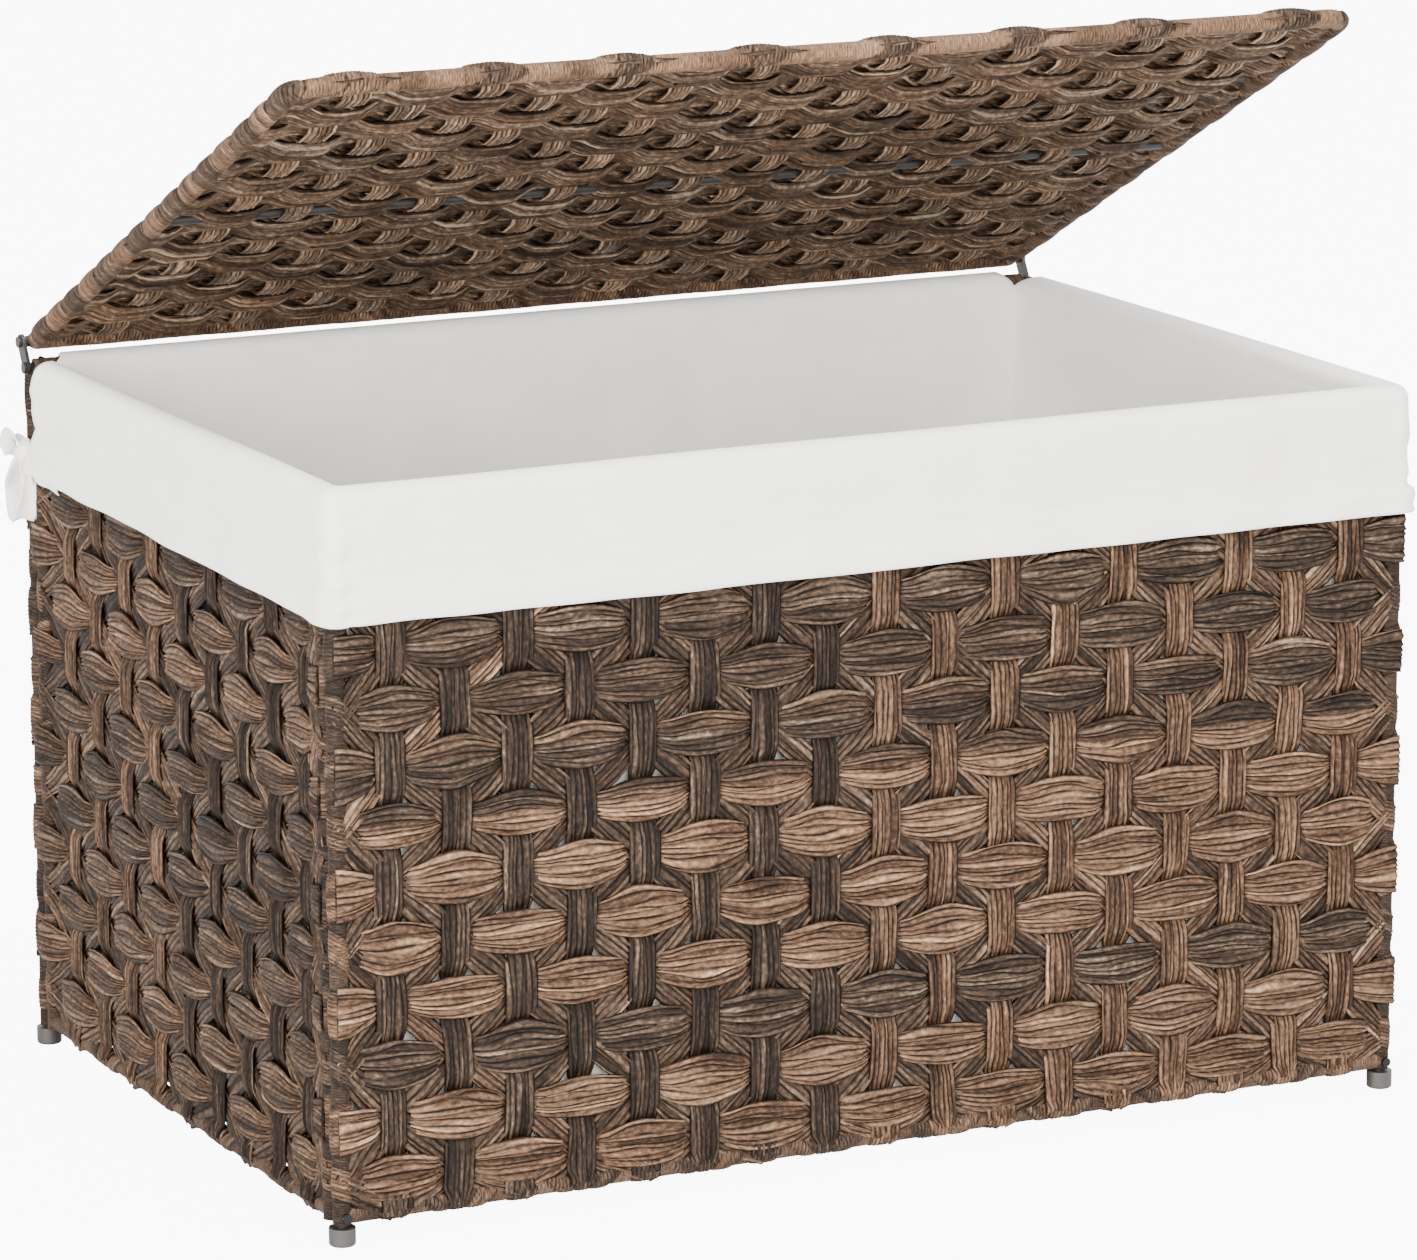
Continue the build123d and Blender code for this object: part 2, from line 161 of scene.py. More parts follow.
def ribbon(plane, a, b, n, half_width, half_thick, ribs, tone, seed, ridge, both, loose,
           shade_by, split=0.0):
    """A batch of ribbons made of round cords side by side.

    Each ribbon is a middle line (ribbon, station) in panel coordinates, swept with a lens
    section whose outer face carries one ridge to a cord; the section lies square to the
    line within the panel's plane. Cords keep their order across the ribbon, so they fan
    out and bunch up with its width, and each wanders a little and stands its own height.
    A split of 1 makes the upper half of the cords darker stock and the lower half lighter."""
    count, stations = a.shape
    r = np.random.default_rng(seed)
    ta, tb = np.gradient(a, axis=1), np.gradient(b, axis=1)
    size = np.hypot(ta, tb) + 1e-9
    ta, tb = ta / size, tb / size

    def drift(kinds, step, size):
        """Smooth random curves along the ribbons, one for each of kinds."""
        curves = wander(count * kinds, stations, step, size, r.integers(1 << 30))
        return curves.reshape(count, kinds, stations).transpose(0, 2, 1)

    edge = np.arange(ribs + 1) / ribs * 2 - 1
    moved = drift(ribs + 1, 6, loose / ribs)
    moved[..., [0, -1]] *= 0.5
    edge = edge + moved
    crest = (edge[..., 1:] + edge[..., :-1]) / 2
    top = np.empty((count, stations, 2 * ribs + 1))
    top[..., ::2], top[..., 1::2] = edge, crest
    tall = ridge * np.clip(1 + drift(ribs, 7, 0.45) + r.normal(0, 0.25, (count, 1, ribs)), 0.3, 2)
    rise = np.empty_like(top)
    rise[..., 1::2] = tall / 2
    rise[..., ::2] = -ridge / 2
    rise[..., [0, -1]] = 0
    own = r.normal(0, 1, (count, 1, ribs)) * 0.11 + drift(ribs, 7, 0.12) + shade_by
    shade = np.empty_like(top)
    shade[..., 1::2] = own
    shade[..., 2:-1:2] = (own[..., 1:] + own[..., :-1]) / 2
    shade[..., [0, -1]] = own[..., [0, -1]]
    number = np.broadcast_to(np.arange(2 * ribs + 1) / 2.0, top.shape)
    # Points of the inner face: one to each outer point where it shows, otherwise just two.
    pick = slice(-2, 0, -1) if both else slice(-3, 1, -(ribs // 2) * 2)
    across = np.concatenate([top, top[..., pick]], -1)
    hump = 1 - np.abs(np.clip(across, -1, 1)) ** 3
    height = half_thick[..., None] * hump
    under = top[..., pick].shape[-1]
    sign = np.ones(across.shape[-1])
    sign[-under:] = -1
    lift = np.concatenate([rise, rise[..., pick] if both else 0 * rise[..., pick]], -1)
    width = half_width[..., None] * across
    pa = a[..., None] + tb[..., None] * width
    pb = b[..., None] - ta[..., None] * width
    pn = n[..., None] + sign * (height + lift)
    # Painted shade: 1 at the edges of every cord, where the material darkens it, and 0 on the crests.
    groove_shade = np.broadcast_to((np.arange(2 * ribs + 1) + 1) % 2, top.shape) * 1.0
    groove_shade = np.concatenate([groove_shade, groove_shade[..., pick]], -1)
    cord = np.concatenate([shade, shade[..., pick]], -1)
    tone = tone[..., None] + split * np.clip(across * 5 + 0.6, -1, 1) * 0.45
    step = np.hypot(np.diff(a, axis=1, prepend=a[:, :1]), np.diff(b, axis=1, prepend=b[:, :1]))
    # Every ribbon starts at a random place of the pattern, so that no two match.
    along = (np.cumsum(step, axis=1) + r.uniform(0, 4000, (count, 1)))[..., None] * MM
    return (place(plane, pa, pb, pn), tone, cord, groove_shade, along,
            np.concatenate([number, number[..., pick]], -1) * CORD * MM + r.uniform(0, 1))


def weave(plane, cols, rows, lo_hi_a, lo_hi_b, tones, seed, pinch=5.0, both=False, fill=27.5,
          wave=(4.4, 7.2), drop=4.6, dive=0.52, reach=0.92, slant_half=(6.2, 2.2),
          split=None, lighter=0.0, column_shade=-0.10, over_rod=0.0, past=0.0):
    """The three families of ribbons of a panel: level rows, upright columns and slants.

    At every second crossing the row lies outside as a wide fan of cords, an eye; at the
    others it is gathered narrow behind the column, with two slanting ribbons between. Fill
    is the height of an eye and pinch half that of a gather. Wave is how far out an eye lies
    and how far a gather drops below it; drop is the same for the column behind an eye.
    Reach is the share of a pitch at which an eye is fully gathered, and dive the share at
    which it starts to go behind. Over_rod is how far out the ribbons that wrap round the
    rods lie there, and past how far every second row runs on beyond the upright rods. Rows
    under the cuff don't run on, and lie lower. Lo_hi_a and lo_hi_b are the rods' places."""
    cols, rows = np.asarray(cols, float), np.asarray(rows, float)
    nc, nr = len(cols), len(rows)
    a_at = np.concatenate([[lo_hi_a[0]], cols, [lo_hi_a[1]]])
    b_at = np.concatenate([[lo_hi_b[0]], rows, [lo_hi_b[1]]])
    row_tone, col_tone, slant_tone = tones

    def ends(x, low_high, n, low=0.0, high=0.0):
        """Brings a ribbon to a given height over the rod at each of its ends."""
        one, two = smooth((x - low_high[0] - 2) / 14.0), smooth((low_high[1] - 2 - x) / 14.0)
        return n * one * two + low * (1 - one) + high * (1 - two)

    # Level rows, from the left upright rod to the right one.
    per = 10
    u = np.linspace(-1, nc, (nc + 1) * per + 1)[None].repeat(nr, 0)
    k = np.arange(nr)[:, None]
    parity = (np.floor(u + 0.5) + k) % 2
    d = np.abs(u - np.floor(u + 0.5))
    d = np.where(parity == 0, d, 1 - d)
    stations = u.shape[1]
    fat = 1 + wander(nr, stations, per, 0.07, seed)
    gathered = np.clip(d / reach, 0, 1) ** 1.8
    half = (fill / 2 * (1 - gathered) + pinch * gathered) * fat
    n = wave[0] - wave[1] * smooth((d - dive) / 0.36)
    thick = 0.7 + 1.2 * smooth((d - 0.5) / 0.4) + 0.5 * (1 - smooth(d / 0.6))
    a = np.interp(u, np.arange(-1, nc + 1), a_at)
    past = past * (rows[:, None] < UNDER_CUFF)
    a = a + past * np.sign(a) * smooth((np.abs(a) - a_at[-1] + 16) / 16.0)
    b = rows[:, None] + wander(nr, stations, per, 0.9, seed + 1)
    tone = row_tone(k, a) + 0 * a
    mixed = 0.0 if split is None else split(k, a)[..., None]
    high = np.where(rows[:, None] < UNDER_CUFF, over_rod + 0.35 * past, min(over_rod, ROW_UNDER_CUFF))
    # Every second row goes over the upright rods, and the others behind them.
    over = np.where((k + 1) % 2 == 0, high, -0.5)
    level = [ribbon(plane, a, b, ends(a, lo_hi_a, n, over, over), half, thick, ROW_CORDS, tone, seed + 2,
                    ridge=1.7, both=both, loose=0.62, shade_by=lighter, split=mixed)]

    # Upright columns, from the bottom rod to the top one.
    per = 8
    u = np.linspace(-1, nr, (nr + 1) * per + 1)[None].repeat(nc, 0)
    i = np.arange(nc)[:, None]
    parity = (np.floor(u + 0.5) + i) % 2
    d = np.abs(u - np.floor(u + 0.5))
    d = np.where(parity == 1, d, 1 - d)
    stations = u.shape[1]
    narrower = 0.6 if both else 2.6
    half = 8.8 - narrower * smooth((d - 0.55) / 0.35) + wander(nc, stations, per * 2, 0.35, seed + 3)
    n = 3.1 - drop * smooth((d - 0.3) / 0.5)
    b = np.interp(u, np.arange(-1, nr + 1), b_at)
    a = cols[:, None] + wander(nc, stations, per * 2, 0.7, seed + 4)
    tone = col_tone(i, a, b) + 0 * b
    n = ends(b, lo_hi_b, n, over_rod - 0.2, min(over_rod, COLUMN_UNDER_CUFF))
    upright = [ribbon(plane, a, b, n, half, 0.8 + 0 * n, COLUMN_CORDS, tone, seed + 5,
                      ridge=1.0, both=both, loose=0.5, shade_by=column_shade)]

    # Slants, both ways, through every crossing where the column lies outside.
    slant = []
    per = 6
    for way, level_n in ((1, -0.6), (-1, 0.8)):
        for start in range(-1 - nr, nc + 2):
            first = start if way > 0 else start + nr + 1
            if first % 2:
                continue
            # Crossing number j of this slant is (column, row) = (first + way * j, j - 1).
            j = np.arange(0, nr + 2)
            col = first + way * j
            keep = (col >= -1) & (col <= nc)
            if keep.sum() < 2:
                continue
            j0, j1 = j[keep][0], j[keep][-1]
            t = np.linspace(j0, j1, (j1 - j0) * per + 1)[None]
            a = np.interp(first + way * t, np.arange(-1, nc + 1), a_at)
            b = np.interp(t - 1, np.arange(-1, nr + 1), b_at)
            d = smooth(np.abs(t - np.floor(t + 0.5)) * 2)
            stations = t.shape[1]
            n = level_n * (1 - d) + 2.1 * d + wander(1, stations, per, 0.25, seed + 80 + start)
            fat = 1 + wander(1, stations, per, 0.08, seed + 60 + start)
            half = (slant_half[0] + slant_half[1] * d) * fat
            n = ends(b, lo_hi_b, ends(a, lo_hi_a, n, over_rod - 1.0, over_rod - 1.0), 0.75 * over_rod, 0.0)
            # About a quarter of the slants turn to lighter stock in places.
            light = 0.55 if stock_draws.uniform() < 0.27 else 0.0
            stock = np.clip(wander(1, stations, per * 3, 1.0, seed + 500 + start * 3 + way), 0, 1)
            tone = slant_tone(way, a, b) + light * stock ** 0.3 + 0 * a
            slant.append(ribbon(plane, a, b, n, half, 0.7 + 0 * a, SLANT_CORDS, tone,
                                seed + 900 + start * 7 + way,
                                ridge=1.1, both=both, loose=0.6, shade_by=lighter - 0.02))
    return level, upright, slant


def wound_rod(plane, start, end, radius, bands, seed, tone=0.62, step=0.8, around=16, bend=None, shade_by=0.0):
    """A rod wound with ribbon: a tube whose radius rises in fine turns.

    Bands are wider wraps laid over the fine turns, each (centre, half width, slope, rise,
    tone) in millimetres along the rod. Slope is how far the wrap moves along the rod in
    half a turn. Wraps bulge outwards and sideways, and lie tight on the inner side."""
    start, end = np.array(start, float), np.array(end, float)
    length = np.linalg.norm(end - start) if bend is None else bend[1]
    stations = int(length / step) + 1
    x = np.linspace(0, length, stations)[:, None]
    angle = np.arange(around)[None] * 2 * np.pi / around
    r = np.random.default_rng(seed)
    turn = (x + 0.9 * np.sin(angle) + wander(1, stations, 40, 0.4, seed)[0][:, None]) / 1.6
    fine = np.abs((turn % 1) - 0.5) * 2
    lift = radius - 0.25 * fine + 0 * angle
    # Painted shade in the troughs of the fine turns.
    groove_shade = fine * 0.8
    shade = tone + 0 * lift
    own = 0.10 * wander(1, stations, 24, 1.0, seed + 1)[0][:, None] + 0 * angle + shade_by
    full = 0.3 + 0.7 * smooth((np.cos(angle) + 0.9) / 0.9)
    for centre, half, slope, rise, band_tone in bands:
        across = x - centre - slope * np.sin(angle)
        across = across + 1.2 * np.sin(angle + r.uniform(0, ANY_PHASE)) * min(1.0, half / 12)
        inside = smooth((half - np.abs(across)) / 0.9)
        number = (across + half) / BAND_CORD
        cords = np.abs((number % 1) - 0.5) * 2
        cord_tone = r.normal(shade_by * 0.5, 0.12, 32)[np.clip(number.astype(int), 0, 31)]
        hump = rise * full * np.sqrt(np.clip(1.02 - (across / half) ** 2, 0.0, 1))
        lift = lift * (1 - inside) + (radius + hump - 0.5 * cords) * inside
        # Painted shade between a band's cords and along its raised edges, deeper for a taller band.
        edge = np.exp(-((np.abs(across) - half) / 0.8) ** 2)
        groove_shade = np.maximum(groove_shade * (1 - inside) + cords * inside, edge * min(1.0, rise))
        shade = shade * (1 - inside) + band_tone * inside
        own = own * (1 - inside) + cord_tone * inside
    if bend is None:
        direction = (end - start) / length
        centre_line = start[None] + x * direction[None]
        side = np.array([-direction[1], direction[0]])[None] + 0 * centre_line
    else:
        centre_line, side = bend[0](x[:, 0])
    # The tube turns from the panel's outward direction towards its side direction.
    pa = centre_line[:, None, 0] + lift * np.sin(angle) * side[:, None, 0]
    pb = centre_line[:, None, 1] + lift * np.sin(angle) * side[:, None, 1]
    pn = lift * np.cos(angle)
    p = place(plane, pa, pb, pn)[None]
    along = (x + r.uniform(0, 3000) + 0 * angle)[None] * MM
    # Along the ribbon means round the rod, so the streaks run round it.
    return (p, shade[None], own[None], groove_shade[None],
            (angle * radius + x * 0.02)[None] * MM + r.uniform(0, 3), along)


# ---- materials ----
def colour(code):
    """Linear colour of a six-digit sRGB code."""
    v = np.array([int(code[i:i + 2], 16) for i in (0, 2, 4)]) / 255
    v = np.where(v <= 0.04045, v / 12.92, ((v + 0.055) / 1.055) ** 2.4)
    return (*v, 1.0)


def new_material(name):
    """An empty node material with its surface shader."""
    m = bpy.data.materials.new(name)
    m.use_nodes = True
    shader = m.node_tree.nodes["Principled BSDF"]
    return m, m.node_tree, shader


def connect(tree, node, **sockets):
    """Gives a node's sockets values or outputs; each is named as on the node with _ for a space, or i and a number."""
    for key, value in sockets.items():
        numbered = key[0] == "i" and key[1:].isdigit()
        target = node.inputs[int(key[1:]) if numbered else key.replace("_", " ")]
        if isinstance(value, bpy.types.NodeSocket):
            tree.links.new(value, target)
        else:
            target.default_value = value


def add(tree, kind, settings=None, out=0, **sockets):
    """Adds a shader node with its settings and sockets, and returns one of its outputs."""
    made = tree.nodes.new("ShaderNode" + kind)
    for key, value in (settings or {}).items():
        setattr(made, key, value)
    connect(tree, made, **sockets)
    return made.outputs[out]


def ramp(tree, value, stops):
    """A colour ramp of (place, colour code) stops."""
    made = add(tree, "ValToRGB", i0=value)
    band = made.node.color_ramp
    while len(band.elements) < len(stops):
        band.elements.new(0.5)
    for element, (where, code) in zip(band.elements, stops):
        element.position = where
        element.color = colour(code)
    return made


def ribbon_material():
    """Extruded poly ribbon of fine cords: grey-brown and tan stock, streaked along each cord."""
    m, tree, shader = new_material("mixed brown extruded poly ribbon")
    uv = add(tree, "UVMap", {"uv_map": "ribbon"})
    tone, cord, groove_shade = [add(tree, "Attribute", {"attribute_name": label}, "Fac")
                          for label in ("tone", "cord", "groove_shade")]

    def noise(along, across, detail, rough):
        """Noise drawn out along the ribbon, with counts per metre along and across it."""
        drawn = add(tree, "Mapping", i0=uv, Scale=(along, across, 1.0))
        return add(tree, "TexNoise", Vector=drawn, Scale=1.0, Detail=detail, Roughness=rough)

    # Drawn-out streaks about 25 mm long and 1 mm wide, from pigments mixed in the melt.
    streak = noise(42.0, 1000.0, 1.5, 0.55)
    # Bark-like flecks about 4 mm long, where the lighter pigment breaks up.
    fleck = noise(260.0, 1000.0, 2.5, 0.6)
    a = add(tree, "Math", {"operation": "MULTIPLY_ADD"}, i0=streak, i1=0.65, i2=cord)
    b = add(tree, "Math", {"operation": "MULTIPLY_ADD"}, i0=fleck, i1=1.2, i2=a)
    light = add(tree, "Math", {"operation": "SUBTRACT"}, i0=b, i1=0.42)
    grey = ramp(tree, light, [(0.0, "100B08"), (0.3, "261C15"), (0.55, "3D3026"), (0.78, "5C4B3D"), (1.0, "8C7966")])
    tan = ramp(tree, light, [(0.0, "281B13"), (0.3, "4C3728"), (0.55, "725742"), (0.78, "8F7057"), (1.0, "B89679")])
    body = add(tree, "Mix", {"data_type": "RGBA"}, 2, i0=tone, i6=grey, i7=tan)
    # Painted shade in the gaps between cords, deeper in some stretches than in others.
    line = add(tree, "MapRange", {"interpolation_type": "SMOOTHSTEP"}, i0=groove_shade, i1=0.28, i2=0.95)
    shade_depth = add(tree, "MapRange", i0=noise(60.0, 400.0, 1.0, 0.5), i1=0.38, i2=0.56, i3=0.6, i4=1.0)
    shadow = add(tree, "Math", {"operation": "MULTIPLY"}, i0=line, i1=shade_depth)
    with_painted_shade = add(tree, "Mix", {"data_type": "RGBA", "blend_type": "MULTIPLY"}, 2,
               i0=shadow, i6=body, i7=colour("392E26"))
    rough = add(tree, "MapRange", i0=streak, i1=0.3, i2=0.7, i3=0.5, i4=0.68)
    # Hair-fine lines and flecks along each cord, left by the die.
    raised = add(tree, "Math", {"operation": "ADD"}, i0=streak, i1=fleck)
    die = add(tree, "Bump", Height=raised, Strength=0.5, Distance=0.0006)
    connect(tree, shader, Base_Color=with_painted_shade, Roughness=rough, Normal=die, Specular_IOR_Level=0.13)
    return m


def steel_material(name, code, metallic, roughness, grain):
    """Steel with a fine uneven finish, plated or powder coated; grain is its specks per metre."""
    m, tree, shader = new_material(name)
    at = add(tree, "TexCoord", out="Object")
    # Mottle about 3 mm across, from plating or powder that settled unevenly.
    mottle = add(tree, "TexNoise", Vector=at, Scale=350.0, Detail=4.0, Roughness=0.6)
    light = tuple(min(1.0, x * 1.25) for x in colour(code)[:3]) + (1.0,)
    mix = add(tree, "Mix", {"data_type": "RGBA"}, 2, i0=mottle, i6=colour(code), i7=light)
    rough = add(tree, "MapRange", i0=mottle, i1=0.3, i2=0.7, i3=roughness - 0.06, i4=roughness + 0.08)
    fine = add(tree, "TexNoise", Vector=at, Scale=grain, Detail=3.0)
    bump = add(tree, "Bump", Height=fine, Strength=0.15, Distance=0.0002)
    connect(tree, shader, Base_Color=mix, Metallic=metallic, Roughness=rough, Normal=bump)
    return m


def cotton_material():
    """Plain-weave off-white cotton: two sets of threads over and under, soft slubs, no shine."""
    m, tree, shader = new_material("plain-weave off-white cotton")
    uv = add(tree, "UVMap", {"uv_map": "ribbon"})
    # Threads 1.1 mm apart, coarser than real ones so that they show.
    warp, weft = [add(tree, "TexWave", {"wave_type": "BANDS", "bands_direction": way}, 1,
                      Vector=uv, Scale=290.0, Distortion=0.6, Detail=1.0) for way in "XY"]
    threads = add(tree, "Math", {"operation": "ADD"}, i0=warp, i1=weft)
    # Slubs and faint cloudiness 20 to 60 mm across, as in washed cotton.
    cloud = add(tree, "TexNoise", Vector=uv, Scale=22.0, Detail=4.0, Roughness=0.55)
    body = ramp(tree, cloud, [(0.3, "F3F0EA"), (0.55, "F8F5F0"), (0.8, "FCFAF6")])
    soft = add(tree, "Bump", Height=cloud, Strength=0.25, Distance=0.002)
    fine = add(tree, "Bump", Height=threads, Strength=0.18, Distance=0.0003, Normal=soft)
    connect(tree, shader, Base_Color=body, Roughness=0.9, Specular_IOR_Level=0.15, Sheen_Weight=0.25, Normal=fine)
    return m


RIBBON = ribbon_material()
BLACK_ROD = steel_material("black powder-coated steel", "1B1918", 0.0, 0.48, 2500.0)
ZINC = steel_material("dull zinc plate", "504E4C", 0.8, 0.42, 1800.0)
BLACK_BOLT = steel_material("glossy black oxide steel", "141313", 0.5, 0.28, 3000.0)
GREY_LINK = steel_material("grey plated strip steel", "393735", 0.7, 0.4, 2200.0)
COTTON = cotton_material()

for node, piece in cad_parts.items():
    if node.startswith("foot"):
        look = ZINC
    elif node == "corner_bolts":
        look = BLACK_BOLT
    elif node.startswith(("hinge", "link")):
        look = GREY_LINK
    elif node.endswith(("frame", "rod")):
        look = BLACK_ROD
    else:
        continue
    piece.data.materials.clear()
    piece.data.materials.append(look)


# ---- weave of the panels ----
FRONT_COLS = -294.4 + 36.8 * np.arange(17)
FRONT_ROWS = 33.0 + 32.1 * np.arange(12)
SIDE_COLS = np.array([-158 + 42.2 * i for i in range(9)])
SIDE_ROWS = 38.0 + 29.3 * np.arange(13)
# Share of tan stock in each row from the bottom; the rest is grey-brown stock. One row of
# the faces is made of both.
MIXED_ROW = 6
FRONT_ROW_TONE = np.array([.84, .78, .03, .90, .94, .97, .72, .17, .12, .10, .08, .08])
SIDE_ROW_TONE = np.array([.70, .70, .45, .40, .15, .20, .25, .72, .75, .70, .25, .2, .2])


def face_row_tone(k, a):
    """The row's own tone, less towards the right, and the mixed row less at both its ends."""
    ends = np.where(k == MIXED_ROW, smooth((np.abs(a) - 170) / 60), 0.0)
    return FRONT_ROW_TONE[k] - 0.3 * ends - 0.10 * smooth((a - 60) / 160)


def face_col_tone(i, a, b):
    """Grey-brown on the left, tan on the right, with an even change 40 mm wide."""
    return 0.02 + 0.95 * smooth((a + 25) / 40)


def face_slant_tone(way, a, b):
    """Grey-brown, lighter towards the right, and a little lighter in the slants that rise to it."""
    return 0.14 + 0.22 * smooth((a - 60) / 160) + (0.06 if way > 0 else 0.0)


def face_split(k, a):
    """Darker stock in the upper cords: the mixed row's all along, row 2's on the right.

    Row 7 has it in its lower cords."""
    right = np.where(k == 2, 0.4 * smooth((a - 120) / 80), 0.0)
    return np.where(k == MIXED_ROW, 1.0, 0.0) + right - 0.4 * (k == 7)


def side_row_tone(k, a):
    """The row's own tone, less towards the right."""
    return SIDE_ROW_TONE[k] - 0.10 * smooth((a + 20) / 120)


def side_col_tone(i, a, b):
    """Tan on the left, grey-brown on the right, with an even change 45 mm wide."""
    return 0.70 - 0.62 * smooth((a + 35) / 45)


def woven(name, batches, body="basket"):
    """One piece of ribbon from batches of closed tubes."""
    return mesh_piece(name, batches, RIBBON, body)


FACE_LOOK = dict(split=face_split, column_shade=-0.13)
# Lighter and column_shade darken the side panels' ribbons against the faces': painted shade, for the less light that
# falls on a side panel.
SIDE_LOOK = dict(column_shade=-0.2, lighter=-0.08, fill=24.5, reach=0.74, dive=0.42, slant_half=(6.4, 2.6))
FACE_TONES = (face_row_tone, face_col_tone, face_slant_tone)
SIDE_TONES = (side_row_tone, side_col_tone, face_slant_tone)
# Each panel's columns, rows, half run between its upright rods, tones, look and seed.
panels = {
    "front": (FRONT_COLS, FRONT_ROWS, SIDE_MID, FACE_TONES, FACE_LOOK, 10),
    "back": (FRONT_COLS, FRONT_ROWS, SIDE_MID, FACE_TONES, FACE_LOOK, 310),
    "left": (SIDE_COLS, SIDE_ROWS, SIDE_SPAN, SIDE_TONES, SIDE_LOOK, 610),
    "right": (-SIDE_COLS[::-1], SIDE_ROWS, SIDE_SPAN, SIDE_TONES, SIDE_LOOK, 910),
}
# The upright rods run this far below the middle of the lowest rod.
ROD_FOOT = 5
for name, (cols, rows, span, tones, look, seed) in panels.items():
    level, upright, slant = weave(name, cols, rows, (-span, span), (BOTTOM_ROD, TOP_ROD), tones, seed,
                                  over_rod=5.4, past=4.0, **look)
    made = woven(name + "_level_ribbons", level)
    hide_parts(name + "_weave")
    woven(name + "_upright_ribbons", upright)
    woven(name + "_slanting_ribbons", slant)

    # Wide bands where a row goes over the upright rod, narrow ones where it goes behind.
    rods = []
    for n_side, side in enumerate((-span, span)):
        bands = []
        for k, z in enumerate(rows):
            tone = tones[0](np.array([[k]]), np.array([[side]])).item()
            half, rise = (13.5, 1.9) if k % 2 else (9.0, 0.9)
            rise = rise * (1.0 if z < UNDER_CUFF else 0.55)
            bands.append((z - BOTTOM_ROD + ROD_FOOT, half, 2.5 * (-1) ** k, rise, tone))
        rods.append(wound_rod(name, (side, BOTTOM_ROD - ROD_FOOT), (side, TOP_ROD), WOUND, bands,
                              seed + 40 + n_side, tone=0.1, shade_by=-0.2))
    # A band where each column ends, and at every second one the two slants beside it.
    bands = []
    for i, x in enumerate(cols):
        tone = tones[1](i, np.array(x), 0).item()
        bands.append((x + span, 8.2, 0.0, 1.2, tone))
        if i % 2:
            bands.append((x + span + 14, 6.5, 5.0, 1.4, 0.10 + 0.5 * (i % 4 == 1)))
            bands.append((x + span - 14, 5.5, -5.0, 1.0, 0.5 - 0.4 * (i % 4 == 1)))
    rods.append(wound_rod(name, (-span, BOTTOM_ROD), (span, BOTTOM_ROD), WOUND_LOW, bands,
                          seed + 44, tone=0.4, shade_by=-0.06))
    rods.append(wound_rod(name, (-span, TOP_ROD), (span, TOP_ROD), WOUND, bands,
                          seed + 45, tone=0.3, step=1.2))
    made = woven(name + "_wound_rods", rods)
    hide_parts(name + "_binding")

# ---- lid ----
LID_COLS = np.arange(-280.0, 281.0, 40.0)
LID_ROWS = np.arange(15) * 28.0 + 20.0


def lid_row_tone(k, a):
    """Mostly grey-brown, lighter towards the front and at the rear left corner."""
    b = LID_ROWS[k]
    rear_left = smooth((a - 120) / 120) * smooth((120 - b) / 80)
    return 0.12 + 0.10 * np.sin(k * 1.7) + 0.12 * smooth((b - 330) / 80) + 0.3 * rear_left


def lid_col_tone(i, a, b):
    """Mixed stock that changes from column to column."""
    return 0.36 + 0.2 * np.sin(i * 2.3) + 0 * a


def lid_slant_tone(way, a, b):
    """Grey-brown, lighter towards the front and the rear."""
    return 0.08 + 0.12 * smooth((b - 300) / 100) + 0.2 * smooth((80 - b) / 60)


# Lighter and column_shade brighten the lid's ribbons against the body's: painted light on the lid's underside, which
# faces down.
level, upright, slant = weave("lid", LID_COLS, LID_ROWS, (-LID_HALF, LID_HALF), (0.0, LID_RUN),
                              (lid_row_tone, lid_col_tone, lid_slant_tone), 1300,
                              pinch=12.0, both=True, fill=33.0, wave=(2.3, 4.9), drop=6.4, dive=0.36,
                              slant_half=(11.0, 2.0), lighter=0.13, column_shade=0.2)
made = woven("lid_level_ribbons", level, "lid")
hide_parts("lid_weave")
woven("lid_depthwise_ribbons", upright, "lid")
woven("lid_slanting_ribbons", slant, "lid")


# Straight run of the lid's rod along each side.
LID_SIDE = LID_RUN - LID_CORNER


def lid_bend(x):
    """Point and side direction along the lid's bent rod: side, corner, front, corner, side."""
    arc, front = LID_CORNER * math.pi / 2, 2 * (LID_HALF - LID_CORNER)
    s1, s2, s3, s4 = LID_SIDE, LID_SIDE + arc, LID_SIDE + arc + front, LID_SIDE + 2 * arc + front
    turn = np.clip((x - s1) / arc, 0, 1) * math.pi / 2 + np.clip((x - s3) / arc, 0, 1) * math.pi / 2
    # Forward starts along +b, and turns towards +a.
    da, db = np.sin(turn), np.cos(turn)
    r = LID_CORNER
    a = np.select([x <= s1, x <= s2, x <= s3, x <= s4], [
        -LID_HALF + 0 * x, -LID_HALF + r - r * np.cos((x - s1) / r), -LID_HALF + r + (x - s2),
        LID_HALF - r + r * np.sin((x - s3) / r)], LID_HALF)
    b = np.select([x <= s1, x <= s2, x <= s3, x <= s4], [
        x, LID_RUN - r + r * np.sin((x - s1) / r), LID_RUN + 0 * x,
        LID_RUN - r + r * np.cos((x - s3) / r)], LID_RUN - r - (x - s4))
    return np.stack([a, b], -1), np.stack([-db, da], -1)


total = 2 * LID_SIDE + LID_CORNER * math.pi + 2 * (LID_HALF - LID_CORNER)
bands = []
for k, b in enumerate(LID_ROWS):
    bands.append((b, 12.0, 5.0, 3.2 if k % 2 else 1.6, 0.3 if k % 2 else 0.05))
    bands.append((total - b, 15.0, -5.0, 2.0, 0.85 if k % 2 else 0.2))
